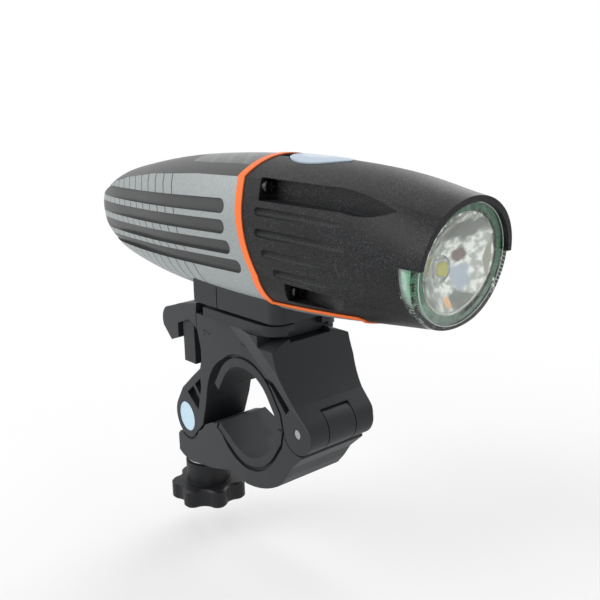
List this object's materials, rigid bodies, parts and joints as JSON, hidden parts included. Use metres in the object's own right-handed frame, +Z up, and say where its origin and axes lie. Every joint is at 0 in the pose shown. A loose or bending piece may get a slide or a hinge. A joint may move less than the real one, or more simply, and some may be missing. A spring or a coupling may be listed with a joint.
{
  "type": "bicycle headlight",
  "caption": "Torch shaped bicycle headlight with a side grooved tail, a reflector lens and a hinged quick release handlebar clamp.",
  "frame": {"origin": "centre of the handlebar bore", "axes": "+X along the beam, +Y along the handlebar, +Z up"},
  "size_m": [0.1301, 0.0274, 0.0953],
  "materials": {
    "clamp_black": "satin moulded",
    "latch_black": "satin moulded",
    "liner_rubber": "matte",
    "pin_grey": "turned",
    "barrel_pale": "pale anodised",
    "bolt_steel": "zinc plated",
    "washer_steel": "zinc plated",
    "knob_black": "matte moulded",
    "insert_steel": "plain",
    "block_black": "satin moulded",
    "screw_black": "black oxide",
    "tail_silver": "silver paint with dark grooves and top",
    "nose_black": "fine sparkle texture",
    "trim_orange": "semi gloss",
    "window_dark": "smoked translucent",
    "button_pale": "translucent",
    "lens_clear": "clear",
    "gasket_green": "smooth",
    "reflector_chrome": "mirror",
    "led_yellow": "phosphor under a clear dome",
    "board_white": "white solder mask",
    "sink_metal": "turned",
    "cell_wrap": "shrink wrapped can",
    "holder_black": "moulded",
    "board_green": "green solder mask",
    "switch_black": "moulded",
    "signal_white": "clear white",
    "socket_steel": "plated",
    "cover_rubber": "matte"
  },
  "bodies": {
    "clamp_upper": {"upper_jaw": "clamp_black", "upper_liner": "liner_rubber", "hinge_pin": "pin_grey"},
    "clamp_lower": {"lower_jaw": "clamp_black", "lower_liner": "liner_rubber"},
    "latch": {"release_latch": "latch_black"},
    "bolt": {"barrel": "barrel_pale", "clamp_bolt": "bolt_steel"},
    "washer": {"thrust_washer": "washer_steel"},
    "knob": {"star_knob": "knob_black", "knob_insert": "insert_steel"},
    "light": {"mount_block": "block_black", "block_screws": "screw_black", "tail_shell": "tail_silver", "front_housing": "nose_black", "seam_trim": "trim_orange", "indicator_window": "window_dark", "lens": "lens_clear", "lens_gasket": "gasket_green", "reflector": "reflector_chrome", "led_emitter": "led_yellow", "led_board": "board_white", "heat_sink": "sink_metal", "battery_cell": "cell_wrap", "battery_holder": "holder_black", "control_board": "board_green", "tact_switch": "switch_black", "indicator_led": "signal_white", "usb_socket": "socket_steel", "socket_board": "board_green", "housing_screws": "screw_black"},
    "button": {"power_button": "button_pale"},
    "cover": {"port_cover": "cover_rubber"}
  },
  "joints": [
    {"name": "light_slide", "type": "slide", "parent": "clamp_upper", "child": "light", "axis": [1, 0, 0], "range_m": [0, 0.04]},
    {"name": "latch_press", "type": "hinge", "parent": "clamp_upper", "child": "latch", "pos_m": [-0.0025, 0, 0.018], "axis": [0, -1, 0], "range_deg": [0, 5], "stiffness_Nm_per_rad": 0.5, "springref_deg": -2.86},
    {"name": "jaw_open", "type": "hinge", "parent": "clamp_upper", "child": "clamp_lower", "pos_m": [0.02, 0, 0.00095], "axis": [0, -1, 0], "range_deg": [0, 6]},
    {"name": "bolt_swing", "type": "hinge", "parent": "clamp_upper", "child": "bolt", "pos_m": [-0.0287, 0, -0.01], "axis": [0, 1, 0], "range_deg": [0, 90]},
    {"name": "knob_travel", "type": "slide", "parent": "bolt", "child": "washer", "axis": [0, 0, -1], "range_m": [0, 0.0065]},
    {"name": "knob_spin", "type": "hinge", "parent": "washer", "child": "knob", "pos_m": [-0.0287, 0, -0.03], "axis": [0, 0, -1], "range_deg": [0, 2880]},
    {"name": "button_press", "type": "slide", "parent": "light", "child": "button", "axis": [0, 0, -1], "range_m": [0, 0.0006], "stiffness_N_per_m": 1000, "springref_m": -0.0005},
    {"name": "cover_hinge", "type": "hinge", "parent": "light", "child": "cover", "pos_m": [-0.0563, 0, 0.0309], "axis": [0, 1, 0], "range_deg": [0, 90]}
  ],
  "couplings": [
    {"joint": "knob_travel", "follows": "knob_spin", "m_per_rad": 0.00012732},
    {"joint": "jaw_open", "follows": "knob_spin", "ratio": 0.00208}
  ]
}
